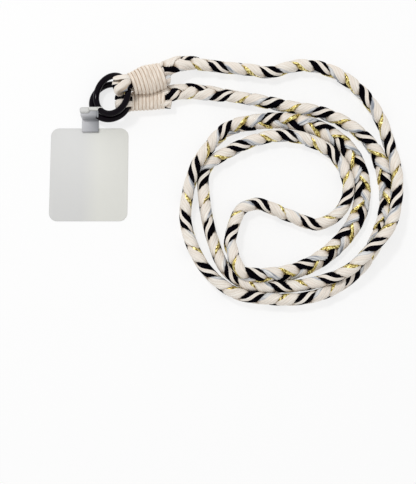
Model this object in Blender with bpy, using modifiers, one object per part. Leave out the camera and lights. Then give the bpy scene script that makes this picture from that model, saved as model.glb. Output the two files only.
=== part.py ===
"""A crossbody strap for a phone: a plaited cord with a whipped eye at each end, two rings, and a
tether tab. It lies on a table, with the cord in loose loops. The file works in millimetres and
scales to metres as it makes each mesh. X runs along the table to the right, Y away, and Z up."""

import math

import bmesh
import bpy
from mathutils import Matrix, Vector

MM = 0.001
GAP = 0.3

# The plaited cord.
CORD_DIAMETER = 7.2
CORD_POINTS = 80
BEND_WEIGHT = 12.0
CORD_SIDES_STEP = 2
CORD_ROUTE_STEPS = 8

# The route of the cord's centre over the table, from the upper whipping round to the lower one.
ROUTE = [
    (34.2, 46.8, 10.6),
    (40.5, 48.8, 8.6),
    (49.0, 49.5, 5.6),
    (65.5, 46.5, 3.9),
    (85.0, 44.5, 3.9),
    (96.5, 43.0, 3.9),
    (114.5, 47.5, 3.9),
    (133.5, 44.0, 3.9),
    (150.5, 32.0, 3.9),
    (162.5, 15.0, 3.9),
    (168.3, -3.5, 4.7),
    (172.0, -22.0, 8.0),
    (171.0, -41.2, 10.3),
    (166.5, -56.5, 11.2),
    (155.0, -70.0, 11.8),
    (140.5, -81.5, 10.6),
    (122.5, -87.8, 7.4),
    (102.0, -90.3, 3.9),
    (82.5, -88.5, 3.9),
    (69.0, -78.5, 3.9),
    (60.5, -61.0, 3.9),
    (56.5, -43.0, 3.9),
    (55.0, -24.0, 3.9),
    (58.5, -15.5, 4.2),
    (64.5, -11.0, 4.8),
    (82.0, -2.0, 3.9),
    (100.0, 2.5, 3.9),
    (118.5, 0.0, 3.9),
    (135.5, -10.5, 3.9),
    (143.0, -28.0, 3.9),
    (138.0, -44.0, 3.9),
    (124.0, -52.5, 3.9),
    (107.5, -47.5, 3.9),
    (90.5, -40.5, 3.9),
    (82.5, -41.0, 4.2),
    (76.5, -45.5, 5.5),
    (71.5, -60.5, 9.6),
    (72.0, -69.2, 11.0),
    (78.0, -82.4, 11.6),
    (94.5, -83.8, 9.2),
    (112.5, -79.8, 4.4),
    (128.5, -71.0, 3.9),
    (142.5, -57.0, 3.9),
    (150.5, -40.5, 3.9),
    (150.5, -21.5, 3.9),
    (143.0, -5.0, 3.9),
    (128.0, 6.5, 3.9),
    (109.0, 12.0, 3.9),
    (88.0, 11.5, 3.9),
    (69.0, 6.0, 5.0),
    (55.5, -10.2, 10.8),
    (50.6, -18.7, 10.6),
    (46.0, -33.0, 6.0),
    (44.5, -50.0, 3.9),
    (49.5, -67.5, 3.9),
    (59.5, -83.0, 3.9),
    (74.5, -94.5, 3.9),
    (92.5, -98.2, 3.9),
    (112.5, -98.2, 3.9),
    (130.5, -92.5, 3.9),
    (147.5, -82.0, 3.9),
    (159.5, -64.5, 3.9),
    (165.5, -44.5, 3.9),
    (165.5, -25.5, 3.9),
    (159.5, -6.5, 3.9),
    (146.0, 8.0, 3.9),
    (127.5, 17.0, 3.9),
    (108.0, 20.8, 3.9),
    (88.0, 25.0, 3.9),
    (68.5, 28.5, 3.9),
    (49.5, 31.0, 4.0),
    (42.0, 30.8, 5.0),
    (35.4, 29.4, 6.6),
]

# The rings of round wire. A ring has its centre, the slopes at which it rises to the right and away,
# and the angle round it at which the cord's eye hangs.
RING_OUTER = 26.6
RING_WIRE = 2.9
RING_STEPS = 40
WIRE_SIDES = 10
UPPER_RING_CENTRE = (-0.4, 26.5, 10.5)
UPPER_RING_SLOPES = (30.0, 0.0)
UPPER_EYE_ANGLE = 35.0
LOWER_RING_CENTRE = (-1.6, 24.3, 4.6)
LOWER_RING_SLOPES = (11.0, -9.0)
LOWER_EYE_ANGLE = -3.0

# The doubled ends of the cord: wide where they turn round a ring, pressed flat in the whipping.
EYE_WIDTH = 8.2
EYE_THICKNESS = 3.4
BOUND_WIDTH = 5.2
BOUND_THICKNESS = 3.0
EYE_SLACK = 2.1
EYE_BEND_STEPS = 6
SHOULDER_RUN = 1.8
SHOULDER_HEIGHT = 0.96
SHOULDER_SHARE = 0.3
BOUND_FROM = 0.12
BOUND_TO = 0.92
LEG_RUN = 2.2
JOINT_GAP = 0.5
STUB_LENGTH = 5.8
STUB_SPREAD = 3.7
STUB_DROP = 1.6
SECTION_SIDES = 12
LINE_STEPS = 4

# The whippings of wound thread, each from its end beside the ring to its end beside the cord.
UPPER_WHIPPING = ((13.4, 33.9, 14.8), (30.2, 41.0, 11.0))
LOWER_WHIPPING = ((15.7, 23.5, 6.0), (31.4, 26.0, 6.0))
UPPER_WHIPPING_WIDTH = 14.2
LOWER_WHIPPING_WIDTH = 13.0
WHIPPING_FLATNESS = 0.86
WHIPPING_WALL = 1.2
WHIPPING_TURNS = 9
WHIPPING_TAPER = 0.12
TAPER_LENGTH = 0.4
TAPERED_BORE = 0.3
RIDGE_DEPTH = 0.35
WHIPPING_STEPS = 24

# The tether tab: an eye moulded round both rings, a tongue, and a thin patch under the phone.
TAB_MIDDLE = -14.7
EYE_OUTLINE = [
    (-20.4, 14.0),
    (-8.8, 14.0),
    (-8.8, 17.0),
    (-4.9, 19.0),
    (-5.4, 21.6),
    (-8.8, 20.8),
    (-20.4, 20.8),
]
EYE_HEIGHT = 7.6
TONGUE_WIDTH = 9.8
TONGUE_TOP = 17.0
TONGUE_BOTTOM = 2.6
TONGUE_HEIGHT = 2.2
TONGUE_CORNER = 0.4
PATCH_WIDTH = 47.6
PATCH_TOP = 8.6
PATCH_BOTTOM = -49.6
PATCH_HEIGHT = 0.8
PATCH_CORNER = 5.0
CORNER_STEPS = 4
WELD = 0.00001


def clear_scene():
    for item in list(bpy.data.objects):
        bpy.data.objects.remove(item, do_unlink=True)


def new_collection(name):
    group = bpy.data.collections.new(name)
    bpy.context.scene.collection.children.link(group)
    return group


def new_material(name, colour, roughness, metallic=0.0, alpha=1.0):
    made = bpy.data.materials.new(name)
    made.use_nodes = True
    shader = made.node_tree.nodes["Principled BSDF"]
    shader.inputs["Base Color"].default_value = (*colour, 1.0)
    shader.inputs["Roughness"].default_value = roughness
    shader.inputs["Metallic"].default_value = metallic
    shader.inputs["Alpha"].default_value = alpha
    made.diffuse_color = (*colour, alpha)
    return made


def place(item, group, material=None):
    """Moves an object into its collection and gives it its material."""
    for old in list(item.users_collection):
        old.objects.unlink(item)
    group.objects.link(item)
    if material is not None:
        item.data.materials.clear()
        item.data.materials.append(material)


def place_cutter(item, group):
    """Puts a helper shape where no render shows it."""
    place(item, group)
    item.hide_render = True
    item.display_type = "WIRE"


def eased(share):
    """A smooth step from 0 to 1."""
    share = min(max(share, 0.0), 1.0)
    return share * share * (3 - 2 * share)


def spline_point(before, start, end, after, share):
    """A point of the Catmull-Rom curve between start and end."""
    square = share * share
    cube = square * share
    return 0.5 * (
        2 * start
        + (end - before) * share
        + (2 * before - 5 * start + 4 * end - after) * square
        + (3 * start - before - 3 * end + after) * cube
    )


def smooth_line(points, steps):
    """A fine polyline along the smooth curve through the points."""
    points = [Vector(point) for point in points]
    padded = [2 * points[0] - points[1], *points, 2 * points[-1] - points[-2]]
    line = []
    for index in range(1, len(padded) - 2):
        span = padded[index - 1 : index + 3]
        line += [spline_point(*span, step / steps) for step in range(steps)]
    return [*line, points[-1]]


def spaced(line, count):
    """The given number of points along a polyline, closer together where it bends."""
    lengths = [0.0]
    for before, start, end in zip([line[0], *line], line, line[1:]):
        turn = (end - start).angle(start - before, 0.0)
        lengths.append(lengths[-1] + (end - start).length + BEND_WEIGHT * turn)
    found = []
    index = 0
    for number in range(count):
        wanted = lengths[-1] * number / (count - 1)
        while index < len(line) - 2 and lengths[index + 1] < wanted:
            index += 1
        share = (wanted - lengths[index]) / (lengths[index + 1] - lengths[index])
        found.append(line[index].lerp(line[index + 1], share))
    return found


def tube(name, points, diameter):
    """A round tube with closed ends along a polyline."""
    data = bpy.data.curves.new(name, "CURVE")
    data.dimensions = "3D"
    data.bevel_depth = diameter / 2 * MM
    data.bevel_resolution = CORD_SIDES_STEP
    data.use_fill_caps = True
    spline = data.splines.new("POLY")
    spline.points.add(len(points) - 1)
    for handle, point in zip(spline.points, points):
        handle.co = (*(point * MM), 1.0)
    spline.use_smooth = True
    return bpy.data.objects.new(name, data)


def ring_matrix(centre, slopes):
    """Where a ring lies, in millimetres, from its centre and its rise to the right and away."""
    right, away = (math.radians(slope) for slope in slopes)
    tilt = Matrix.Rotation(-right, 4, "Y") @ Matrix.Rotation(away, 4, "X")
    return Matrix.Translation(Vector(centre)) @ tilt


def ring_point(centre, slopes, angle):
    """The wire's centre at an angle round the ring, and the wire's direction there."""
    radius = (RING_OUTER - RING_WIRE) / 2
    turn = math.radians(angle)
    frame = ring_matrix(centre, slopes)
    point = frame @ Vector((radius * math.cos(turn), radius * math.sin(turn), 0))
    along = frame.to_3x3() @ Vector((-math.sin(turn), math.cos(turn), 0))
    return point, along


def torus(name, centre, slopes, wire):
    """A ring of round wire, of the wire thickness given."""
    bpy.ops.mesh.primitive_torus_add(
        major_radius=(RING_OUTER - RING_WIRE) / 2 * MM,
        minor_radius=wire / 2 * MM,
        major_segments=RING_STEPS,
        minor_segments=WIRE_SIDES,
    )
    item = bpy.context.object
    item.name = name
    frame = ring_matrix(centre, slopes)
    frame.translation *= MM
    item.matrix_world = frame
    item.data.shade_smooth()
    return item


def finished_mesh(name, form):
    """An object from a bmesh in millimetres, which it scales to metres."""
    form.transform(Matrix.Scale(MM, 4))
    bmesh.ops.recalc_face_normals(form, faces=form.faces)
    data = bpy.data.meshes.new(name)
    form.to_mesh(data)
    form.free()
    return bpy.data.objects.new(name, data)


def loft(name, stations):
    """A closed body through flat oval sections. A station is a centre, the direction of its width,
    the direction of its thickness, and those two sizes."""
    form = bmesh.new()
    loops = []
    for centre, across, through, width, thickness in stations:
        loop = []
        for side in range(SECTION_SIDES):
            angle = 2 * math.pi * side / SECTION_SIDES
            offset = across * (width / 2 * math.cos(angle)) + through * (thickness / 2 * math.sin(angle))
            loop.append(form.verts.new(centre + offset))
        loops.append(loop)
    for here, there in zip(loops, loops[1:]):
        for side in range(SECTION_SIDES):
            after = (side + 1) % SECTION_SIDES
            form.faces.new((here[side], here[after], there[after], there[side]))
    form.faces.new(loops[0])
    form.faces.new(loops[-1])
    item = finished_mesh(name, form)
    item.data.shade_smooth()
    return item


def eye_leg(start, shoulder, inside, late, end, direction):
    """One leg of a doubled end, from the ring through the whipping to its own end. Each point comes
    with its share of the way from the eye's section, 0, to the bound section, 1."""
    return [
        (start, 0.0),
        (shoulder, SHOULDER_SHARE),
        (inside, 1.0),
        (late, 1.0),
        (end - direction * LEG_RUN, 1.0),
        (end, 1.0),
    ]


def eye_line(ring_at, whipping, joint, heading, tail):
    """The centreline of a doubled end: from the cut tail, through the whipping, round the ring's
    wire and back through the whipping to the cord."""
    mouth, far = (Vector(end) for end in whipping)
    axis = (far - mouth).normalized()
    up = axis.cross(Vector((0, 0, 1)).cross(axis)).normalized()
    turn = (mouth - ring_at).normalized()
    lift = turn.cross(up.cross(turn)).normalized()
    reach = (RING_WIRE + EYE_THICKNESS) / 2 + GAP * 1.5
    bound = up * (BOUND_THICKNESS + GAP) / 2
    back = ring_at - turn * EYE_SLACK
    shoulder = ring_at + turn * SHOULDER_RUN
    rise = lift * reach * SHOULDER_HEIGHT
    inside = mouth.lerp(far, BOUND_FROM)
    late = mouth.lerp(far, BOUND_TO)
    upper = eye_leg(back + lift * reach, shoulder + rise, inside + bound, late + bound, joint, heading)
    lower = eye_leg(back - lift * reach, shoulder - rise, inside - bound, late - bound, tail, axis)
    bend = []
    for step in range(1, EYE_BEND_STEPS):
        angle = math.pi * step / EYE_BEND_STEPS
        bend.append((back - turn * (reach * math.sin(angle)) - lift * (reach * math.cos(angle)), 0.0))
    return [*reversed(lower), *bend, *upper]


def end_loop(name, ring_at, wire_along, whipping, joint, heading, tail):
    """One doubled end of the cord, with its eye round the ring and its cut tail."""
    rows = eye_line(ring_at, whipping, joint, heading, tail)
    line = smooth_line([point for point, _ in rows], LINE_STEPS)
    shares = [share for _, share in rows]
    level = (Vector((0, 0, 1)).cross(Vector(whipping[1]) - Vector(whipping[0]))).normalized()
    if wire_along.dot(level) < 0:
        wire_along = -wire_along
    stations = []
    for index, centre in enumerate(line):
        before = line[max(index - 1, 0)]
        after = line[min(index + 1, len(line) - 1)]
        tangent = heading if index == len(line) - 1 else (after - before).normalized()
        row = min(index // LINE_STEPS, len(shares) - 2)
        part = index / LINE_STEPS - row
        share = eased(shares[row] + (shares[row + 1] - shares[row]) * part)
        across = wire_along.lerp(level, share)
        across = (across - tangent * across.dot(tangent)).normalized()
        through = tangent.cross(across)
        width = EYE_WIDTH + (BOUND_WIDTH - EYE_WIDTH) * share
        thickness = EYE_THICKNESS + (BOUND_THICKNESS - EYE_THICKNESS) * share
        stations.append((centre, across, through, width, thickness))
    return loft(name, stations)


def whipping_profile(radius, length):
    """Half the section of a whipping, as places (radius, along) in a closed loop: the ridged outer
    side, slimmer towards the ring, and then the plain bore."""
    bore = radius - WHIPPING_WALL
    slim = 1 - WHIPPING_TAPER
    outer = []
    count = WHIPPING_TURNS * 2
    for step in range(count + 1):
        share = step / count
        size = slim + WHIPPING_TAPER * eased(share / TAPER_LENGTH)
        ridge = RIDGE_DEPTH if step % 2 == 0 else 0.0
        outer.append((radius * size - ridge, length * (share - 0.5)))
    inner = [(bore * slim, -length / 2), (bore, length * (TAPERED_BORE - 0.5)), (bore, length / 2)]
    return [*reversed(outer), *inner]


def whipping(name, ends, width):
    """A ridged sleeve of wound thread between two ends."""
    start, end = (Vector(point) for point in ends)
    form = bmesh.new()
    profile = whipping_profile(width / 2, (end - start).length)
    rows = [form.verts.new((radius, 0, along)) for radius, along in profile]
    for here, there in zip(rows, [*rows[1:], rows[0]]):
        form.edges.new((here, there))
    item = finished_mesh(name, form)
    screw = item.modifiers.new("Turn", "SCREW")
    screw.steps = WHIPPING_STEPS
    screw.render_steps = WHIPPING_STEPS
    screw.use_merge_vertices = True
    screw.merge_threshold = WELD
    along = (end - start).normalized()
    level = Vector((0, 0, 1)).cross(along).normalized()
    up = along.cross(level)
    frame = Matrix((level, up * WHIPPING_FLATNESS, along)).transposed().to_4x4()
    frame.translation = (start + end) / 2 * MM
    item.matrix_world = frame
    return item


def box(name, width, low, high, height):
    """A box on the table, as wide as given round the tab's middle, between two places away."""
    bpy.ops.mesh.primitive_cube_add(size=1)
    item = bpy.context.object
    item.name = name
    size = Matrix.Diagonal((width * MM, (high - low) * MM, height * MM, 1))
    middle = Matrix.Translation(Vector((TAB_MIDDLE, (low + high) / 2, height / 2)) * MM)
    item.data.transform(middle @ size)
    return item


def round_corners(item, radius):
    """Rounds a box's upright corners."""
    form = bmesh.new()
    form.from_mesh(item.data)
    upright = [edge for edge in form.edges if abs(edge.verts[0].co.z - edge.verts[1].co.z) > WELD]
    bmesh.ops.bevel(
        form, geom=upright, offset=radius * MM, segments=CORNER_STEPS, profile=0.5, affect="EDGES"
    )
    form.to_mesh(item.data)
    form.free()


def moulded_eye(name):
    """The block round the rings, from its outline in plan."""
    data = bpy.data.curves.new(name, "CURVE")
    data.dimensions = "2D"
    data.fill_mode = "BOTH"
    data.extrude = EYE_HEIGHT / 2 * MM
    spline = data.splines.new("POLY")
    spline.points.add(len(EYE_OUTLINE) - 1)
    for handle, (x, y) in zip(spline.points, EYE_OUTLINE):
        handle.co = (x * MM, y * MM, 0, 1)
    spline.use_cyclic_u = True
    outline = bpy.data.objects.new(name + "_outline", data)
    form = bmesh.new()
    form.from_mesh(outline.to_mesh())
    bpy.data.objects.remove(outline)
    bmesh.ops.remove_doubles(form, verts=form.verts, dist=WELD)
    form.transform(Matrix.Translation((0, 0, EYE_HEIGHT / 2 * MM)))
    form.transform(Matrix.Scale(1 / MM, 4))
    return finished_mesh(name, form)


def tether_tab(cutters, rings):
    """The tab in one solid: eye, tongue and patch, with a channel through the eye for each ring."""
    tab = moulded_eye("tether_tab")
    tongue = box("tongue_shape", TONGUE_WIDTH, TONGUE_BOTTOM, TONGUE_TOP, TONGUE_HEIGHT)
    round_corners(tongue, TONGUE_CORNER)
    patch = box("patch_shape", PATCH_WIDTH, PATCH_BOTTOM, PATCH_TOP, PATCH_HEIGHT)
    round_corners(patch, PATCH_CORNER)
    channels = [
        torus(name + "_channel", centre, slopes, RING_WIRE + 2 * GAP)
        for name, (centre, slopes, *_) in rings.items()
    ]
    for shape in (tongue, patch, *channels):
        place_cutter(shape, cutters)
        step = tab.modifiers.new(shape.name, "BOOLEAN")
        step.operation = "DIFFERENCE" if shape in channels else "UNION"
        step.solver = "EXACT"
        step.object = shape
    return tab


def main():
    clear_scene()
    parts = new_collection("phone_crossbody_strap")
    cutters = new_collection("cutters")
    plait = new_material("plaited cotton", (0.78, 0.72, 0.65), 0.85)
    thread = new_material("wound thread", (0.80, 0.72, 0.64), 0.8)
    black = new_material("black enamel", (0.02, 0.015, 0.03), 0.25, 0.3)
    film = new_material("clear film", (0.78, 0.78, 0.80), 0.35, 0.0, 0.6)

    rings = {
        "upper": (UPPER_RING_CENTRE, UPPER_RING_SLOPES, UPPER_EYE_ANGLE),
        "lower": (LOWER_RING_CENTRE, LOWER_RING_SLOPES, LOWER_EYE_ANGLE),
    }
    place(tether_tab(cutters, rings), parts, film)

    route = spaced(smooth_line(ROUTE, CORD_ROUTE_STEPS), CORD_POINTS)
    place(tube("strap_cord", route, CORD_DIAMETER), parts, plait)

    ends = {
        "upper": (UPPER_WHIPPING, UPPER_WHIPPING_WIDTH, route[0], route[1]),
        "lower": (LOWER_WHIPPING, LOWER_WHIPPING_WIDTH, route[-1], route[-2]),
    }
    for name, (sleeve, width, end, inner) in ends.items():
        centre, slopes, angle = rings[name]
        place(torus("ring_" + name, centre, slopes, RING_WIRE), parts, black)
        ring_at, wire_along = ring_point(centre, slopes, angle)
        away = (inner - end).normalized()
        far = Vector(sleeve[1])
        axis = (far - Vector(sleeve[0])).normalized()
        level = Vector((0, 0, 1)).cross(axis).normalized()
        tail = far + axis * STUB_LENGTH - level * STUB_SPREAD - Vector((0, 0, STUB_DROP))
        loop = end_loop("end_loop_" + name, ring_at, wire_along, sleeve, end - away * JOINT_GAP, away, tail)
        place(loop, parts, plait)
        place(whipping("whipping_" + name, sleeve, width), parts, thread)


main()
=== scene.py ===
"""The looks of a phone crossbody strap: a three-strand plaited cord in loose loops, with its whipped
eyes on two black rings, and a clear tether tab. Everything is in metres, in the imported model's frame:
X runs along the table to the right, Y away, and Z up."""

import math

import bmesh
import bpy
import numpy as np
from mathutils import Matrix, Vector

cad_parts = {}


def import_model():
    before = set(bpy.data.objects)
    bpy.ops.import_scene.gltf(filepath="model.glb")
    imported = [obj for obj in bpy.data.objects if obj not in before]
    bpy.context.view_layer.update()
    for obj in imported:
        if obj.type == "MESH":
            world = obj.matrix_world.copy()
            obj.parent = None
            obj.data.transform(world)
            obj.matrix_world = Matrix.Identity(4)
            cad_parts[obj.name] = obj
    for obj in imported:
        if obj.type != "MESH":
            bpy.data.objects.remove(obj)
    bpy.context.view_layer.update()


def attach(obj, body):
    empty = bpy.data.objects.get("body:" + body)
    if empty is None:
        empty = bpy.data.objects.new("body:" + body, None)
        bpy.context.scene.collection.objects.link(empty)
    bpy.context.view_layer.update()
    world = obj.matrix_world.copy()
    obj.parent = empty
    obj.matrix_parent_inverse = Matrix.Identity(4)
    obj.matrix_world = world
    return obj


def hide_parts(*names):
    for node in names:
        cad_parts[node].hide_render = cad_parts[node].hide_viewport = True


# The camera stands almost over the strap. Its aim is a point just above the table.
CAMERA_AIM = (0.058, -0.063, 0.0038)
CAMERA_DISTANCE = 0.590
CAMERA_ELEVATION = 80.0
CAMERA_LENS = 73.14

# The plaited cord: its sizes, the length of one repeat of the plait, where the repeat starts, and the
# distance between the drawn stations.
PLAIT_WIDTH = 0.0102
PLAIT_THICKNESS = 0.0069
PLAIT_REPEAT = 0.031
PLAIT_START = -4.45
CORD_STEP = 0.00155

# One strand: how far it swings across the plait and through it, its half sizes, and how far it turns
# its face towards the plait's edges.
STRAND_SWING = 0.0024
STRAND_RISE = 0.0012
STRAND_HALF_WIDTH = 0.0046
STRAND_HALF_THICKNESS = 0.0027
STRAND_TURN = 0.985

# How square a strand and the whole plait are, 2 being an ellipse, how hard the strands press on each
# other and on the plait's outline, and how much fuller than its sizes that outline is.
STRAND_SQUARENESS = 2.4
PLAIT_SQUARENESS = 2.6
STRAND_PRESS = 9
PLAIT_PRESS = 10
PLAIT_FULLNESS = 1.05

# A strand's outline is measured at this many angles, and its quarters keep their yarns.
DENSE_ANGLES = 96
QUARTERS = (0.0, 0.25, 0.5, 0.75, 1.0)

# Where the cord starts and ends, hidden inside the whippings, and the steps between two route points.
LEAD_IN = (0.0285, 0.0408, 0.0120)
LEAD_OUT = (0.0300, 0.0278, 0.0066)
ROUTE_STEPS = 12

# How far the plait's pattern lags behind even repeats at a place along the cord, both in metres.
PLAIT_LAGS = [
    (0.00, -0.003),
    (0.025, -0.0005),
    (0.042, -0.0015),
    (0.065, 0.0),
    (0.10, 0.0),
    (0.15, 0.004),
    (0.21, 0.0115),
    (0.26, 0.0145),
    (0.48, 0.0138),
    (0.60, 0.0125),
    (0.75, 0.0130),
    (0.80, 0.0148),
    (0.85, 0.0153),
    (0.90, 0.0185),
    (0.96, 0.0215),
    (1.20, 0.0227),
    (1.235, 0.0253),
    (1.26, 0.0275),
]

# The yarns wander round their strands: each wave's length along the cord, its share of the way round,
# and where it starts, which differs from strand to strand.
YARN_WAVES = [
    (0.233, 0.024, 0.4),
    (0.087, 0.020, 2.1),
    (0.047, 0.012, 4.0),
]
STRAND_LAG = 2.0

# How strongly each strand's yarns wander, how far they also drift round it as a share of the way
# round, and the length over which they drift from one side to the other.
YARN_WANDER_STRENGTHS = (0.4, 1.0, 1.0)
YARN_DRIFTS = (0.035, 0.0, 0.0)
DRIFT_LENGTH = 1.4

# How far the cord has rolled about its own line at a share of its length, in degrees. At 0 its first
# face is up, at -90 its right edge.
ROLLS = [
    (0.00, 10),
    (0.010, -10),
    (0.028, -75),
    (0.10, -90),
    (0.45, -90),
    (0.50, -102),
    (0.53, -138),
    (0.56, -180),
    (0.615, -180),
    (0.69, -270),
    (0.82, -270),
    (0.85, -220),
    (0.875, -220),
    (0.895, -270),
    (0.955, -270),
    (0.975, -330),
    (1.00, -360),
]

# The route of the cord's centre, from the upper whipping round to the lower one.
ROUTE = [
    (0.0342, 0.0446, 0.0106),
    (0.0405, 0.0475, 0.0086),
    (0.0490, 0.0487, 0.0056),
    (0.0655, 0.0465, 0.0039),
    (0.0850, 0.0445, 0.0039),
    (0.0965, 0.0430, 0.0039),
    (0.1145, 0.0475, 0.0039),
    (0.1335, 0.0440, 0.0039),
    (0.1505, 0.0320, 0.0039),
    (0.1625, 0.0150, 0.0039),
    (0.1683, -0.0035, 0.0047),
    (0.1712, -0.0220, 0.0080),
    (0.1698, -0.0412, 0.0103),
    (0.1651, -0.0562, 0.0112),
    (0.1538, -0.0691, 0.0118),
    (0.1405, -0.0815, 0.0106),
    (0.1225, -0.0878, 0.0074),
    (0.1020, -0.0903, 0.0039),
    (0.0820, -0.0890, 0.0039),
    (0.0680, -0.0790, 0.0039),
    (0.0605, -0.0610, 0.0039),
    (0.0565, -0.0430, 0.0039),
    (0.0550, -0.0240, 0.0039),
    (0.0585, -0.0155, 0.0042),
    (0.0645, -0.0110, 0.0048),
    (0.0820, -0.0020, 0.0039),
    (0.1000, 0.0025, 0.0039),
    (0.1185, 0.0000, 0.0039),
    (0.1355, -0.0105, 0.0039),
    (0.1430, -0.0280, 0.0039),
    (0.1380, -0.0440, 0.0039),
    (0.1240, -0.0525, 0.0039),
    (0.1075, -0.0475, 0.0039),
    (0.0905, -0.0405, 0.0039),
    (0.0825, -0.0410, 0.0042),
    (0.0765, -0.0455, 0.0055),
    (0.0715, -0.0605, 0.0096),
    (0.0720, -0.0692, 0.0110),
    (0.0780, -0.0824, 0.0116),
    (0.0945, -0.0838, 0.0092),
    (0.1125, -0.0798, 0.0044),
    (0.1285, -0.0710, 0.0039),
    (0.1425, -0.0570, 0.0039),
    (0.1505, -0.0405, 0.0039),
    (0.1505, -0.0215, 0.0039),
    (0.1430, -0.0050, 0.0039),
    (0.1280, 0.0065, 0.0039),
    (0.1090, 0.0120, 0.0039),
    (0.0880, 0.0115, 0.0039),
    (0.0690, 0.0060, 0.0050),
    (0.0555, -0.0102, 0.0108),
    (0.0506, -0.0187, 0.0106),
    (0.0460, -0.0330, 0.0060),
    (0.0445, -0.0500, 0.0039),
    (0.0495, -0.0675, 0.0039),
    (0.0595, -0.0830, 0.0039),
    (0.0745, -0.0940, 0.0039),
    (0.0925, -0.0973, 0.0039),
    (0.1125, -0.0975, 0.0039),
    (0.1305, -0.0925, 0.0039),
    (0.1465, -0.0813, 0.0039),
    (0.1577, -0.0648, 0.0039),
    (0.1655, -0.0445, 0.0039),
    (0.1655, -0.0255, 0.0039),
    (0.1595, -0.0065, 0.0039),
    (0.1460, 0.0080, 0.0039),
    (0.1275, 0.0170, 0.0039),
    (0.1080, 0.0208, 0.0039),
    (0.0880, 0.0250, 0.0039),
    (0.0685, 0.0285, 0.0039),
    (0.0495, 0.0310, 0.0040),
    (0.0420, 0.0308, 0.0050),
    (0.0354, 0.0294, 0.0066),
]

# How the cord settles: the gap to the table, the height under which its line lies on the table, how far
# along and how much higher a crossing run is, how far it presses in, and the evening of its heights.
TABLE_GAP = 0.0004
LYING_HEIGHT = 0.0041
CROSSING_LENGTH = 0.03
CROSSING_RISE = 0.0012
CROSSING_PRESS = 0.92
SETTLING_ROUNDS = 3
SMOOTHING_REACH = 5

# The yarns round each strand, from its trailing edge over one face to its leading edge and back over
# the other face: the yarn's material, its share of the way round, and the steps that it is drawn in.
CREAM = "cream cotton"
BLACK = "black cotton"
SILVER = "silver yarn"
GOLD = "gold yarn"
STRANDS = [
    [
        (GOLD, 0.10, 4),
        (CREAM, 0.10, 4),
        (CREAM, 0.09, 4),
        (CREAM, 0.10, 4),
        (CREAM, 0.09, 4),
        (CREAM, 0.09, 4),
        (CREAM, 0.10, 4),
        (CREAM, 0.09, 4),
        (CREAM, 0.10, 4),
        (GOLD, 0.10, 4),
    ],
    [
        (SILVER, 0.13, 5),
        (CREAM, 0.10, 4),
        (CREAM, 0.09, 4),
        (CREAM, 0.09, 4),
        (CREAM, 0.09, 4),
        (CREAM, 0.09, 4),
        (CREAM, 0.09, 4),
        (CREAM, 0.09, 4),
        (CREAM, 0.10, 4),
        (SILVER, 0.13, 5),
    ],
    [
        (BLACK, 0.19, 7),
        (CREAM, 0.07, 3),
        (CREAM, 0.07, 3),
        (BLACK, 0.17, 6),
        (BLACK, 0.17, 6),
        (CREAM, 0.07, 3),
        (CREAM, 0.07, 3),
        (BLACK, 0.19, 7),
    ],
]

# The groove between two yarns: its depth and how dark its painted shade is. Deeper inside the plait the
# strands get painted shade from the first of these shares of the outline inwards, over the second.
GROOVE_DEPTH = 0.00012
GROOVE_SHADE = 0.16
PAINTED_SHADE_START = 0.93
PAINTED_SHADE_FADE = 0.3

# The whippings: from the end beside the ring to the end beside the cord, how wide each is, and its
# sizes as shares of that at the ring, where it is widest and at the cord. The thread's half width is a
# share of the distance between two turns, and half a turn is left free at each end.
UPPER_WHIPPING = ((0.0101, 0.0321, 0.0146), (0.0312, 0.0390, 0.0115))
LOWER_WHIPPING = ((0.0099, 0.0241, 0.0057), (0.0328, 0.0260, 0.0056))
UPPER_WHIPPING_WIDTH = 0.0182
LOWER_WHIPPING_WIDTH = 0.0128
UPPER_WHIPPING_SIZES = (0.72, 1.0, 0.90)
LOWER_WHIPPING_SIZES = (0.94, 1.0, 0.97)
WHIPPING_WIDEST = 0.55
WHIPPING_FLATNESS = 0.80
WHIPPING_TURNS = 10
THREAD_HALF_THICKNESS = 0.0009
THREAD_HALF_WIDTH = 0.53
THREAD_STEPS = 40
THREAD_SIDES = 12

# The rings: their sizes, where each lies, how it rises to the right and away in degrees, the angle
# round it where its eye hangs, and where that eye's plait starts.
RING_RADIUS = 0.0119
RING_WIRE = 0.0038
UPPER_RING_CENTRE = (-0.0004, 0.0267, 0.0114)
UPPER_RING_SLOPES = (30.0, 0.0)
UPPER_EYE_ANGLE = 24.0
UPPER_EYE_PHASE = 2.5
LOWER_RING_CENTRE = (-0.0018, 0.0243, 0.0050)
LOWER_RING_SLOPES = (11.0, -9.0)
LOWER_EYE_ANGLE = -5.0
LOWER_EYE_PHASE = 4.0

# The eyes' plait: the length of one repeat, the distance between the drawn stations, and its sizes at
# three distances from the bight: round the wire, in the whipping's mouth and inside the whipping.
EYE_REPEAT = 0.040
EYE_STEP = 0.0007
EYE_PLACES = (0.006, 0.0115, 0.018)
EYE_WIDTHS = (0.0120, 0.0102, 0.0082)
EYE_THICKNESSES = (0.0042, 0.0034, 0.0046)

# The eyes' route: the gap to the wire, how far the bight hangs past it, how far out and how high the
# bight's corners lie as shares of its reach, how the legs lie halfway through the whipping, how far the
# cut leg and its tail lie beside the middle, both as shares of the legs' offsets, the tail's length, and
# the distances from the bight between which the legs turn on edge.
RING_GAP = 0.0003
EYE_SLACK = 0.0024
BIGHT_OUT = 0.87
BIGHT_UP = 0.5
HALFWAY = 0.5
HALFWAY_BESIDE = 0.8
HALFWAY_ABOVE = 0.4
CUT_LEG_BESIDE = 1.5
TAIL_BESIDE = 1.7
TAIL_LENGTH = 0.0024
EYE_ROLL_FADE = (0.014, 0.024)

# The sizes of one unit of the fibre map, across and along a yarn, for the plait and the wound thread.
PLAIT_UNIT = (0.020, 1.0)
THREAD_UNIT = (0.0062, 0.047)

# The film's painted light and shade runs between these places across the tab, with a painted shadow towards
# the right on the shaded film.
FILM_PAINTED_LIGHT_SPAN = (-0.019, -0.009)

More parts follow.
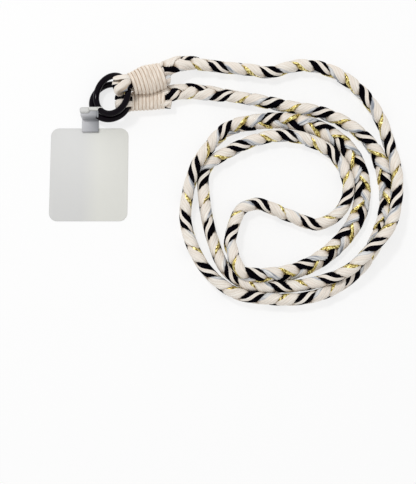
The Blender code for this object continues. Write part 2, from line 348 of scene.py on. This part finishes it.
# The tether tab's plates: left, right, near and far edge, underside and top, corner and edge rounding.
TAB_PLATES = {
    "tab_patch": (-0.0385, 0.0091, -0.0496, 0.0086, 0.0, 0.0008, 0.005, 0.00025),
    "tab_tongue": (-0.0195, -0.0092, 0.0060, 0.0152, 0.0002, 0.0026, 0.0004, 0.0004),
    "tab_bridge": (-0.0199, -0.0093, 0.0140, 0.0196, 0.0002, 0.0080, 0.0013, 0.0010),
    "tab_roll": (-0.0203, -0.0143, 0.0160, 0.0197, 0.0060, 0.0094, 0.0014, 0.0010),
    "tab_strip": (-0.0150, -0.0089, 0.0176, 0.0199, 0.0060, 0.0088, 0.0006, 0.0005),
    "tab_tip": (-0.0100, -0.0066, 0.0186, 0.0199, 0.0070, 0.0088, 0.0005, 0.0003),
    "tab_edge": (-0.0097, -0.0088, 0.0136, 0.0180, 0.0002, 0.0083, 0.0003, 0.0003),
}

# The plates of brighter film, a lit copy with painted light, the steps of the roundings, and how far a
# level edge may rise.
PAINTED_LIGHT_PLATES = ("tab_roll", "tab_strip", "tab_tip", "tab_patch")
CORNER_STEPS = 8
EDGE_STEPS = 4
LEVEL = 0.00001

# The studio: the floor's colour and glow, the light from all round, and the key light.
FLOOR_COLOUR = (0.25, 0.25, 0.25)
FLOOR_GLOW = 0.72
WORLD_LIGHT = 0.75
KEY_PLACE = (-0.3, 0.4, 1.1)
KEY_AIM = (0.05, -0.03, 0.0)
KEY_SIZE = 0.16
KEY_POWER = 5.0


def fed(links, socket, value):
    """A socket given a colour or another node's output."""
    if isinstance(value, tuple):
        socket.default_value = (*value, 1.0)
    else:
        links.new(value, socket)


def mixed(nodes, links, share, dark, light):
    """A mix of two colours by another output's value."""
    mix = nodes.new("ShaderNodeMix")
    mix.data_type = "RGBA"
    links.new(share, mix.inputs["Factor"])
    fed(links, mix.inputs["A"], dark)
    fed(links, mix.inputs["B"], light)
    return mix.outputs["Result"]


def ranged(nodes, links, value, low, high):
    """A value spread out, so that low becomes 0 and high becomes 1."""
    spread = nodes.new("ShaderNodeMapRange")
    links.new(value, spread.inputs["Value"])
    spread.inputs["From Min"].default_value = low
    spread.inputs["From Max"].default_value = high
    return spread.outputs["Result"]


def fibres(nodes, links, unit_size, fibre_size, detail=1.0):
    """Noise drawn out along the yarn. Both sizes are across and along it, in metres: those of one unit
    of the fibre map, and those of one fibre."""
    place = nodes.new("ShaderNodeUVMap")
    place.uv_map = "fibre"
    scale = nodes.new("ShaderNodeMapping")
    links.new(place.outputs["UV"], scale.inputs["Vector"])
    sizes = [whole / part for whole, part in zip(unit_size, fibre_size)]
    scale.inputs["Scale"].default_value = (*sizes, 1.0)
    noise = nodes.new("ShaderNodeTexNoise")
    noise.noise_dimensions = "2D"
    noise.inputs["Scale"].default_value = 1.0
    noise.inputs["Detail"].default_value = detail
    links.new(scale.outputs["Vector"], noise.inputs["Vector"])
    return noise.outputs["Fac"]


def bumped(nodes, links, shader, height, distance):
    bump = nodes.new("ShaderNodeBump")
    bump.inputs["Distance"].default_value = distance
    links.new(height, bump.inputs["Height"])
    links.new(bump.outputs["Normal"], shader.inputs["Normal"])


def painted_groove_shade(nodes):
    """How much painted shade a point gets, in the plait's grooves and deep inside the plait."""
    depth = nodes.new("ShaderNodeAttribute")
    depth.attribute_name = "depth"
    return depth.outputs["Fac"]


def shader_of(name, roughness, specular, metallic=0.0, sheen=0.0):
    """A new material with its shader, nodes and links."""
    made = bpy.data.materials.new(name)
    made.use_nodes = True
    nodes = made.node_tree.nodes
    shader = nodes["Principled BSDF"]
    shader.inputs["Roughness"].default_value = roughness
    shader.inputs["Specular IOR Level"].default_value = specular
    shader.inputs["Metallic"].default_value = metallic
    shader.inputs["Sheen Weight"].default_value = sheen
    return made, shader, nodes, made.node_tree.links


def plain(name, colour, roughness, specular):
    made, shader, _, _ = shader_of(name, roughness, specular)
    shader.inputs["Base Color"].default_value = (*colour, 1.0)
    return made


def cream_cotton():
    """Cream cotton with fine fibres and warmer patches, and painted brown shade in the grooves and deep
    inside the plait.
    """
    made, shader, nodes, links = shader_of("cream cotton", 0.9, 0.1, sheen=0.1)
    fine = fibres(nodes, links, PLAIT_UNIT, (0.0005, 0.008))
    broad = fibres(nodes, links, PLAIT_UNIT, (0.0016, 0.03))
    fibre = ranged(nodes, links, fine, 0.3, 0.7)
    patch = ranged(nodes, links, broad, 0.35, 0.7)
    base = mixed(nodes, links, fibre, (0.72, 0.66, 0.58), (0.92, 0.89, 0.83))
    warm = mixed(nodes, links, patch, base, (0.84, 0.76, 0.68))
    # Painted shade: the colour turns brown in the grooves and deep inside the plait.
    full = mixed(nodes, links, painted_groove_shade(nodes), warm, (0.36, 0.25, 0.15))
    links.new(full, shader.inputs["Base Color"])
    bumped(nodes, links, shader, fine, 0.00012)
    return made


def black_cotton():
    made, shader, nodes, links = shader_of("black cotton", 1.0, 0.02)
    fine = fibres(nodes, links, PLAIT_UNIT, (0.0005, 0.006))
    fibre = ranged(nodes, links, fine, 0.45, 0.75)
    colour = mixed(nodes, links, fibre, (0.0006, 0.0004, 0.001), (0.005, 0.004, 0.008))
    links.new(colour, shader.inputs["Base Color"])
    bumped(nodes, links, shader, fine, 0.0001)
    return made


def silver_yarn():
    """Silky pale yarn in greys, from nearly white to slate."""
    made, shader, nodes, links = shader_of("silver yarn", 0.6, 0.25)
    fine = fibres(nodes, links, PLAIT_UNIT, (0.0006, 0.006), 2.0)
    patches = fibres(nodes, links, PLAIT_UNIT, (0.0020, 0.007))
    fibre = ranged(nodes, links, fine, 0.35, 0.65)
    slate = ranged(nodes, links, patches, 0.52, 0.68)
    pale = mixed(nodes, links, fibre, (0.46, 0.47, 0.49), (0.80, 0.80, 0.79))
    full = mixed(nodes, links, slate, pale, (0.26, 0.28, 0.32))
    links.new(full, shader.inputs["Base Color"])
    bumped(nodes, links, shader, fine, 0.0001)
    return made


def gold_yarn():
    """Metal yarn in flecks, from dark olive to bright gold."""
    made, shader, nodes, links = shader_of("gold yarn", 0.3, 0.5, metallic=0.6)
    flecks = fibres(nodes, links, PLAIT_UNIT, (0.0010, 0.0012), 2.0)
    olive = ranged(nodes, links, flecks, 0.36, 0.46)
    bright = ranged(nodes, links, flecks, 0.50, 0.58)
    dull = mixed(nodes, links, olive, (0.07, 0.04, 0.008), (0.50, 0.36, 0.07))
    full = mixed(nodes, links, bright, dull, (1.0, 0.90, 0.38))
    links.new(full, shader.inputs["Base Color"])
    bumped(nodes, links, shader, flecks, 0.0003)
    return made


def wound_thread():
    """The whippings' thread, with fibres along it and painted warm brown shade where two turns meet and on
    its inner side.
    """
    made, shader, nodes, links = shader_of("wound thread", 0.9, 0.1, sheen=0.1)
    fine = fibres(nodes, links, THREAD_UNIT, (0.0005, 0.005))
    fibre = ranged(nodes, links, fine, 0.3, 0.7)
    base = mixed(nodes, links, fibre, (0.67, 0.58, 0.485), (0.88, 0.795, 0.70))
    place = nodes.new("ShaderNodeUVMap")
    place.uv_map = "fibre"
    parts = nodes.new("ShaderNodeSeparateXYZ")
    links.new(place.outputs["UV"], parts.inputs["Vector"])
    turn = nodes.new("ShaderNodeMath")
    turn.operation = "MULTIPLY"
    turn.inputs[1].default_value = 2 * math.pi
    links.new(parts.outputs["X"], turn.inputs[0])
    height = nodes.new("ShaderNodeMath")
    height.operation = "SINE"
    links.new(turn.outputs["Value"], height.inputs[0])
    # Painted shade: the thread darkens to brown towards its edges and its inner side.
    unshaded_crest = ranged(nodes, links, height.outputs["Value"], 0.1, 0.75)
    links.new(mixed(nodes, links, unshaded_crest, (0.55, 0.39, 0.27), base), shader.inputs["Base Color"])
    bumped(nodes, links, shader, fine, 0.0001)
    return made


def film(name, near_colour, far_colour):
    """Milky film with painted light and shade, running from one colour at the left to another at the right.
    """
    made, shader, nodes, links = shader_of(name, 0.4, 0.5)
    place = nodes.new("ShaderNodeTexCoord")
    parts = nodes.new("ShaderNodeSeparateXYZ")
    links.new(place.outputs["Object"], parts.inputs["Vector"])
    across = ranged(nodes, links, parts.outputs["X"], FILM_PAINTED_LIGHT_SPAN[0], FILM_PAINTED_LIGHT_SPAN[1])
    links.new(mixed(nodes, links, across, near_colour, far_colour), shader.inputs["Base Color"])
    shader.inputs["Transmission Weight"].default_value = 0.1
    shader.inputs["IOR"].default_value = 1.35
    return made


def eased(share):
    """A smooth step from 0 to 1, for numbers and arrays."""
    share = np.clip(share, 0.0, 1.0)
    return share * share * (3 - 2 * share)


def spline_point(before, start, end, after, share):
    """A point of the Catmull-Rom curve between start and end."""
    square = share * share
    cube = square * share
    return 0.5 * (
        2 * start
        + (end - before) * share
        + (2 * before - 5 * start + 4 * end - after) * square
        + (3 * start - before - 3 * end + after) * cube
    )


def smooth_line(points, steps):
    """A fine polyline along the smooth curve through the points."""
    points = np.array(points)
    padded = [2 * points[0] - points[1], *points, 2 * points[-1] - points[-2]]
    line = []
    for index in range(1, len(padded) - 2):
        span = padded[index - 1 : index + 3]
        line += [spline_point(*span, step / steps) for step in range(steps)]
    return np.array([*line, points[-1]])


def lengths_along(line):
    """The distance along a polyline at each of its points."""
    steps = np.linalg.norm(np.diff(line, axis=0), axis=1)
    return np.concatenate([[0.0], np.cumsum(steps)])


def evened(line, step):
    """Points about a step apart along a polyline."""
    lengths = lengths_along(line)
    count = int(round(lengths[-1] / step)) + 1
    wanted = np.linspace(0.0, lengths[-1], count)
    return np.stack([np.interp(wanted, lengths, line[:, axis]) for axis in range(3)], axis=1)


def unit(vectors):
    return vectors / np.linalg.norm(vectors, axis=-1, keepdims=True)


def level_frames(line):
    """The right and up directions across a line, with right kept level."""
    ahead = unit(np.gradient(line, axis=0))
    right = unit(np.cross(ahead, [0.0, 0.0, 1.0]))
    return right, np.cross(right, ahead)


def rolled(right, up, degrees):
    """The frames turned about the line by an angle at each point."""
    turn = np.radians(degrees)[:, None]
    return right * np.cos(turn) - up * np.sin(turn), up * np.cos(turn) + right * np.sin(turn)


def strand_centre(phase, size):
    """Where a strand's middle lies across the plait, as (across, through)."""
    across = STRAND_SWING * size[:, 0] * np.sin(phase)
    through = STRAND_RISE * size[:, 1] * np.sin(2 * phase)
    return np.stack([across, through], axis=-1)


def strand_outline(phases, which, size):
    """The outline of one strand across the plait at each station, pressed against the others. Beside
    its middle and its points comes each point's level, which is 1 on the plait's outline."""
    phase = phases + 2 * math.pi * which / 3
    centre = strand_centre(phase, size)
    face = math.pi / 2 - np.arcsin(STRAND_TURN * np.cos(phase))
    angles = np.linspace(0, 2 * math.pi, DENSE_ANGLES, endpoint=False)
    around = math.pi / 2 - angles
    normal = np.stack([np.sin(face), np.cos(face)], axis=-1)
    side = np.stack([np.cos(face), -np.sin(face)], axis=-1)
    ray = normal[:, None] * np.cos(around)[None, :, None] + side[:, None] * np.sin(around)[None, :, None]
    thick = STRAND_HALF_THICKNESS * size[:, 1:2]
    wide = STRAND_HALF_WIDTH * size[:, 0:1]
    through = (np.abs(np.cos(around)) / thick) ** STRAND_SQUARENESS
    across = (np.abs(np.sin(around)) / wide) ** STRAND_SQUARENESS
    limits = (through + across) ** (STRAND_PRESS / STRAND_SQUARENESS)
    for other in range(3):
        if other == which:
            continue
        toward = strand_centre(phases + 2 * math.pi * other / 3, size) - centre
        distance = np.linalg.norm(toward, axis=-1, keepdims=True)
        facing = np.einsum("sax,sx->sa", ray, toward / distance)
        limits += (np.maximum(facing, 0.0) / (0.5 * distance)) ** STRAND_PRESS
    reach = limits ** (-1 / STRAND_PRESS)
    points = centre[:, None] + ray * reach[..., None]
    half = np.array([PLAIT_WIDTH, PLAIT_THICKNESS]) / 2 * PLAIT_FULLNESS * size
    level = (np.abs(points / half[:, None]) ** PLAIT_SQUARENESS).sum(axis=-1) ** (1 / PLAIT_SQUARENESS)
    points = points / (1 + level[..., None] ** PLAIT_PRESS) ** (1 / PLAIT_PRESS)
    return centre, points, level


def yarn_stops(yarns):
    """Where the drawn points lie round a strand, each with its groove's depth and its material. The
    rim where the list starts and ends is no groove, since one yarn goes over it."""
    stops = []
    place = 0.0
    for index, (name, share, steps) in enumerate(yarns):
        same_before = yarns[index - 1][0] == name != CREAM
        for step in range(steps):
            part = step / steps
            depth = 0.0 if same_before and part < 0.5 else (1 - math.sin(math.pi * part)) ** 2
            stops.append((place + share * part, depth, name))
        place += share
    return [(stop / place, depth, name) for stop, depth, name in stops]


def yarn_wander(along, which):
    """How far a strand's yarns have wandered round it, as a share of the way round."""
    waves = [(2 * math.pi / length, part, start + STRAND_LAG * which) for length, part, start in YARN_WAVES]
    wander = sum(part * np.sin(along * turns + start) for turns, part, start in waves)
    drift = YARN_DRIFTS[which] * np.cos(along * math.pi / DRIFT_LENGTH)
    return wander * YARN_WANDER_STRENGTHS[which] + drift


def strand_rings(centre, outline, level, stops, wander):
    """The drawn points of a strand, the outline sampled at the yarns' stops, with their grooves, and
    how far inside the plait each lies."""
    shares = np.array([stop for stop, _, _ in stops])
    depths = np.array([depth for _, depth, _ in stops])
    rings = []
    inner = []
    quarter_marks = [round(share * DENSE_ANGLES) for share in QUARTERS]
    for middle, points, values, shift in zip(centre, outline, level, wander):
        closed = np.vstack([points, points[:1]])
        lengths = lengths_along(closed)
        places = np.interp((shares + shift) % 1.0, QUARTERS, lengths[quarter_marks])
        ring = np.stack([np.interp(places, lengths, closed[:, axis]) for axis in range(2)], axis=1)
        inward = unit(middle - ring)
        rings.append(ring + inward * (depths * GROOVE_DEPTH)[:, None])
        inner.append(np.interp(places, lengths, np.append(values, values[0])))
    return np.array(rings), np.array(inner)


def plait(name, line, frames, phases, size, materials):
    """Three strands of yarns swept along a line as one mesh."""
    right, up = frames
    along = lengths_along(line)
    verts = []
    faces = []
    kinds = []
    marks = []
    depths = []
    slots = list(materials)
    for which, yarns in enumerate(STRANDS):
        centre, outline, level = strand_outline(phases, which, size)
        stops = yarn_stops(yarns)
        rings, inner = strand_rings(centre, outline, level, stops, yarn_wander(along, which))
        count = len(stops)
        base = len(verts)
        spots = line[:, None] + right[:, None] * rings[..., :1] + up[:, None] * rings[..., 1:]
        verts += spots.reshape(-1, 3).tolist()
        # Each point's painted shade: in the grooves between yarns, and where the strand lies deep inside
        # the plait.
        grooves = np.array([depth for _, depth, _ in stops]) * GROOVE_SHADE
        painted_inner_shade = np.clip((PAINTED_SHADE_START - inner) / PAINTED_SHADE_FADE, 0, 1)
        depths += np.maximum(painted_inner_shade, grooves).reshape(-1).tolist()
        shares = [stop for stop, _, _ in stops] + [1.0]
        for row in range(len(line) - 1):
            for column in range(count):
                after = (column + 1) % count
                low = base + row * count
                high = low + count
                faces.append((low + column, low + after, high + after, high + column))
                kinds.append(slots.index(stops[column][2]))
                here = shares[column] + which
                there = shares[column + 1] + which
                marks += [(here, along[row]), (there, along[row])]
                marks += [(there, along[row + 1]), (here, along[row + 1])]
        last = base + (len(line) - 1) * count
        for cap in (range(base, base + count), range(last, last + count)):
            faces.append(tuple(cap))
            kinds.append(0)
            marks += [(0.0, 0.0)] * count
    data = bpy.data.meshes.new(name)
    data.from_pydata(verts, [], faces)
    layer = data.uv_layers.new(name="fibre")
    layer.data.foreach_set("uv", np.array(marks).reshape(-1))
    # The attribute holds the painted shade of each point.
    shade = data.attributes.new("depth", "FLOAT", "POINT")
    shade.data.foreach_set("value", depths)
    for made in materials.values():
        data.materials.append(made)
    data.polygons.foreach_set("material_index", kinds)
    data.polygons.foreach_set("use_smooth", [True] * len(faces))
    form = bmesh.new()
    form.from_mesh(data)
    bmesh.ops.recalc_face_normals(form, faces=form.faces)
    form.to_mesh(data)
    form.free()
    item = bpy.data.objects.new(name, data)
    bpy.context.scene.collection.objects.link(item)
    return item


def ring_frame(centre, slopes):
    """Where a ring lies, from its centre and its rise to the right and away."""
    right, away = (math.radians(slope) for slope in slopes)
    tilt = Matrix.Rotation(-right, 4, "Y") @ Matrix.Rotation(away, 4, "X")
    return Matrix.Translation(centre) @ tilt


def ring_place(centre, slopes, angle):
    turn = math.radians(angle)
    spot = Vector((RING_RADIUS * math.cos(turn), RING_RADIUS * math.sin(turn), 0.0))
    return np.array(ring_frame(centre, slopes) @ spot)


def add_ring(name, centre, slopes, made):
    """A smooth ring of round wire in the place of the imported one."""
    bpy.ops.mesh.primitive_torus_add(
        major_radius=RING_RADIUS, minor_radius=RING_WIRE / 2, major_segments=144, minor_segments=36
    )
    item = bpy.context.object
    item.name = name + "_wire"
    item.matrix_world = ring_frame(centre, slopes)
    item.data.shade_smooth()
    item.data.materials.append(made)
    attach(item, "root")
    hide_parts(name)


def add_eye(name, ring_at, whipping, phase, materials):
    """A doubled end of the plait: from the cord's side of the whipping to the ring, round its wire in
    a bight, and back through the whipping to the cut tail."""
    mouth, far = np.array(whipping[0]), np.array(whipping[1])
    axis = unit(far - mouth)
    level = unit(np.cross([0.0, 0.0, 1.0], axis))
    up = np.cross(axis, level)
    turn = unit(far - ring_at)
    lift = unit(up - turn * up.dot(turn))
    at_bight, at_mouth, inside = EYE_THICKNESSES
    reach = (RING_WIRE + at_bight) / 2 + RING_GAP
    back = ring_at - turn * EYE_SLACK
    beside = level * inside / 2
    above = up * at_mouth / 2
    halfway = mouth + (far - mouth) * HALFWAY
    leg = beside * HALFWAY_BESIDE + above * HALFWAY_ABOVE
    corner = back - turn * reach * BIGHT_OUT
    points = [
        far + beside,
        halfway + leg,
        mouth + above,
        ring_at + lift * reach,
        back + lift * reach,
        corner + lift * reach * BIGHT_UP,
        corner - lift * reach * BIGHT_UP,
        back - lift * reach,
        ring_at - lift * reach,
        mouth - above,
        halfway - leg,
        far - beside * CUT_LEG_BESIDE,
        far - beside * TAIL_BESIDE + axis * TAIL_LENGTH,
    ]
    line = evened(smooth_line(points, ROUTE_STEPS), EYE_STEP)
    along = lengths_along(line)
    from_bight = along - (along[-1] - TAIL_LENGTH) / 2
    away = np.abs(from_bight)
    size = np.stack(
        [
            np.interp(away, EYE_PLACES, EYE_WIDTHS) / PLAIT_WIDTH,
            np.interp(away, EYE_PLACES, EYE_THICKNESSES) / PLAIT_THICKNESS,
        ],
        axis=1,
    )
    ahead = unit(np.gradient(line, axis=0))
    right = unit(level - ahead * (ahead @ level)[:, None])
    up_side = np.cross(right, ahead)
    rolls = -90.0 * np.sign(from_bight) * np.interp(away, EYE_ROLL_FADE, (0.0, 1.0))
    phases = 2 * math.pi * from_bight / EYE_REPEAT + phase
    eye = plait(name, line, rolled(right, up_side, rolls), phases, size, materials)
    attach(eye, "root")
    return eye


def whipping_size(share, sizes):
    """How wide a whipping is at a share of its length, from its sizes at the ring, where it is widest
    and at the cord."""
    at_ring, widest, at_cord = sizes
    swelled = at_ring + (widest - at_ring) * eased(share / WHIPPING_WIDEST)
    return swelled + (at_cord - widest) * eased(share * 2 - 1)


def add_whipping(name, ends, width, sizes, hand, made):
    """One thread wound round the doubled end, a turn beside a turn."""
    start, end = np.array(ends[0]), np.array(ends[1])
    length = np.linalg.norm(end - start)
    axis = unit(end - start)
    level = unit(np.cross([0.0, 0.0, 1.0], axis))
    up = np.cross(axis, level)
    pitch = length / WHIPPING_TURNS
    count = int(THREAD_STEPS * (WHIPPING_TURNS - 1))
    radius = width / 2 - THREAD_HALF_THICKNESS
    form = bmesh.new()
    layer = form.loops.layers.uv.new("fibre")
    rows = []
    for step in range(count + 1):
        share = step / count
        angle = 2 * math.pi * (WHIPPING_TURNS - 1) * share * hand - math.pi / 2
        place = pitch / 2 + (length - pitch) * share
        out = level * math.cos(angle) + up * math.sin(angle) * WHIPPING_FLATNESS
        middle = start + axis * place + out * radius * whipping_size(place / length, sizes)
        out = unit(out)
        row = []
        for side in range(THREAD_SIDES):
            turn = 2 * math.pi * side / THREAD_SIDES
            wide = pitch * THREAD_HALF_WIDTH * math.cos(turn)
            high = THREAD_HALF_THICKNESS * math.sin(turn)
            row.append(form.verts.new(middle + axis * wide + out * high))
        rows.append(row)
    for index in range(count):
        for side in range(THREAD_SIDES):
            after = (side + 1) % THREAD_SIDES
            corners = [rows[index][side], rows[index][after], rows[index + 1][after], rows[index + 1][side]]
            face = form.faces.new(corners)
            face.smooth = True
            spots = [(side, index), (side + 1, index), (side + 1, index + 1), (side, index + 1)]
            for loop, (across, around) in zip(face.loops, spots):
                loop[layer].uv = (across / THREAD_SIDES, around / THREAD_STEPS)
    form.faces.new(rows[0])
    form.faces.new(rows[-1])
    bmesh.ops.recalc_face_normals(form, faces=form.faces)
    data = bpy.data.meshes.new(name)
    form.to_mesh(data)
    form.free()
    data.materials.append(made)
    item = bpy.data.objects.new(name, data)
    bpy.context.scene.collection.objects.link(item)
    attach(item, "root")
    return item


def add_plate(name, sizes, made):
    """A flat plate of film with rounded corners and softened edges."""
    left, right, near, far, low, high, corner, edge = sizes
    form = bmesh.new()
    bmesh.ops.create_cube(form, size=1.0)
    size = Matrix.Diagonal((right - left, far - near, high - low, 1.0))
    middle = Matrix.Translation(((left + right) / 2, (near + far) / 2, (low + high) / 2))
    form.transform(middle @ size)
    upright = [item for item in form.edges if abs(item.verts[0].co.z - item.verts[1].co.z) > LEVEL]
    bmesh.ops.bevel(form, geom=upright, offset=corner, segments=CORNER_STEPS, profile=0.5, affect="EDGES")
    flat = [item for item in form.edges if abs(item.verts[0].co.z - item.verts[1].co.z) < LEVEL]
    bmesh.ops.bevel(form, geom=flat, offset=edge, segments=EDGE_STEPS, profile=0.5, affect="EDGES")
    data = bpy.data.meshes.new(name)
    form.to_mesh(data)
    form.free()
    data.materials.append(made)
    data.shade_smooth()
    item = bpy.data.objects.new(name, data)
    bpy.context.scene.collection.objects.link(item)
    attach(item, "root")
    return item


def add_camera():
    """The camera of the photograph."""
    lift = math.radians(CAMERA_ELEVATION)
    back = Vector((0.0, -math.cos(lift), math.sin(lift))) * CAMERA_DISTANCE
    data = bpy.data.cameras.new("camera")
    data.sensor_fit = "VERTICAL"
    data.sensor_height = 36.0
    data.lens = CAMERA_LENS
    item = bpy.data.objects.new("camera", data)
    item.location = Vector(CAMERA_AIM) + back
    item.rotation_euler = (math.radians(90 - CAMERA_ELEVATION), 0.0, 0.0)
    bpy.context.scene.collection.objects.link(item)
    bpy.context.scene.camera = item


def add_light(name, place, aim, size, power):
    data = bpy.data.lights.new(name, "AREA")
    data.shape = "DISK"
    data.size = size
    data.energy = power
    item = bpy.data.objects.new(name, data)
    item.location = place
    item.rotation_euler = (Vector(aim) - Vector(place)).to_track_quat("-Z", "Y").to_euler()
    bpy.context.scene.collection.objects.link(item)


def add_studio():
    """The floor, the world and the lights."""
    bpy.ops.mesh.primitive_plane_add(size=6.0, location=(0.0, 0.0, 0.0))
    floor = bpy.context.object
    floor.name = "floor"
    white = plain("floor white", FLOOR_COLOUR, 0.9, 0.0)
    shader = white.node_tree.nodes["Principled BSDF"]
    shader.inputs["Emission Color"].default_value = (1.0, 1.0, 1.0, 1.0)
    shader.inputs["Emission Strength"].default_value = FLOOR_GLOW
    floor.data.materials.append(white)
    world = bpy.data.worlds.new("studio")
    world.use_nodes = True
    background = world.node_tree.nodes["Background"]
    background.inputs["Color"].default_value = (1.0, 1.0, 1.0, 1.0)
    background.inputs["Strength"].default_value = WORLD_LIGHT
    bpy.context.scene.world = world
    add_light("key", KEY_PLACE, KEY_AIM, KEY_SIZE, KEY_POWER)
    bpy.context.scene.view_settings.view_transform = "Standard"


def smoothed(values, reach):
    """Values evened out with their neighbours up to a reach away, the ends kept."""
    padded = np.concatenate([np.full(reach, values[0]), values, np.full(reach, values[-1])])
    weights = np.hanning(2 * reach + 3)[1:-1]
    return np.convolve(padded, weights / weights.sum(), mode="valid")


def settled(line, along, rolls):
    """The cord's line with heights that suit its roll: clear of the table, and where it crosses itself
    the higher run lies on the lower one."""
    turn = np.radians(rolls)
    half_wide = np.hypot(PLAIT_WIDTH * np.cos(turn), PLAIT_THICKNESS * np.sin(turn)) / 2
    half_high = np.hypot(PLAIT_WIDTH * np.sin(turn), PLAIT_THICKNESS * np.cos(turn)) / 2
    apart = np.linalg.norm(line[:, None, :2] - line[None, :, :2], axis=-1)
    touching = half_wide[:, None] + half_wide[None, :]
    crossing = (apart < touching) & (np.abs(along[:, None] - along[None, :]) > CROSSING_LENGTH)
    over = crossing & (line[:, None, 2] > line[None, :, 2] + CROSSING_RISE)
    stacked = (half_high[:, None] + half_high[None, :]) * np.sqrt(1 - np.minimum(apart / touching, 1) ** 2)
    floor = half_high + TABLE_GAP
    heights = np.maximum(line[:, 2], floor)
    heights[line[:, 2] < LYING_HEIGHT] = floor[line[:, 2] < LYING_HEIGHT]
    for _ in range(SETTLING_ROUNDS):
        needed = np.where(over, heights[None, :] + stacked * CROSSING_PRESS, 0.0).max(axis=1)
        heights = np.maximum(smoothed(np.maximum(heights, needed), SMOOTHING_REACH), floor)
    return np.column_stack([line[:, :2], heights])


def add_cord(materials):
    """The free cord, from the upper whipping to the lower one."""
    line = evened(smooth_line([LEAD_IN, *ROUTE, LEAD_OUT], ROUTE_STEPS), CORD_STEP)
    along = lengths_along(line)
    rolls = np.interp(along / along[-1], [share for share, _ in ROLLS], [angle for _, angle in ROLLS])
    line = settled(line, along, rolls)
    lags = np.interp(along, [place for place, _ in PLAIT_LAGS], [lag for _, lag in PLAIT_LAGS])
    phases = 2 * math.pi * (along - lags) / PLAIT_REPEAT + PLAIT_START
    size = np.ones((len(line), 2))
    cord = plait("plaited_cord", line, rolled(*level_frames(line), rolls), phases, size, materials)
    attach(cord, "root")
    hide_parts("strap_cord")


def main():
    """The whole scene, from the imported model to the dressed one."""
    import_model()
    materials = {
        CREAM: cream_cotton(),
        BLACK: black_cotton(),
        SILVER: silver_yarn(),
        GOLD: gold_yarn(),
    }
    add_camera()
    add_studio()
    add_cord(materials)
    upper_at = ring_place(UPPER_RING_CENTRE, UPPER_RING_SLOPES, UPPER_EYE_ANGLE)
    lower_at = ring_place(LOWER_RING_CENTRE, LOWER_RING_SLOPES, LOWER_EYE_ANGLE)
    upper_eye = add_eye("plaited_eye_upper", upper_at, UPPER_WHIPPING, UPPER_EYE_PHASE, materials)
    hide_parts("end_loop_upper")
    lower_eye = add_eye("plaited_eye_lower", lower_at, LOWER_WHIPPING, LOWER_EYE_PHASE, materials)
    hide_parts("end_loop_lower")
    thread = wound_thread()
    upper = add_whipping(
        "wound_thread_upper", UPPER_WHIPPING, UPPER_WHIPPING_WIDTH, UPPER_WHIPPING_SIZES, 1, thread
    )
    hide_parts("whipping_upper")
    lower = add_whipping(
        "wound_thread_lower", LOWER_WHIPPING, LOWER_WHIPPING_WIDTH, LOWER_WHIPPING_SIZES, -1, thread
    )
    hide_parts("whipping_lower")
    enamel = plain("black enamel", (0.0025, 0.0008, 0.003), 0.12, 0.1)
    add_ring("ring_upper", UPPER_RING_CENTRE, UPPER_RING_SLOPES, enamel)
    add_ring("ring_lower", LOWER_RING_CENTRE, LOWER_RING_SLOPES, enamel)
    # Lit and shaded copies of one film: the shaded one has painted shade that darkens to a painted shadow
    # at the right, the bright one painted light.
    shaded = film("shaded film", (0.55, 0.55, 0.57), (0.30, 0.31, 0.33))
    bright = film("bright film", (0.62, 0.62, 0.61), (0.68, 0.68, 0.64))
    for name, sizes in TAB_PLATES.items():
        plate = add_plate(name, sizes, bright if name in PAINTED_LIGHT_PLATES else shaded)
        if name == "tab_bridge":
            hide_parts("tether_tab")


main()
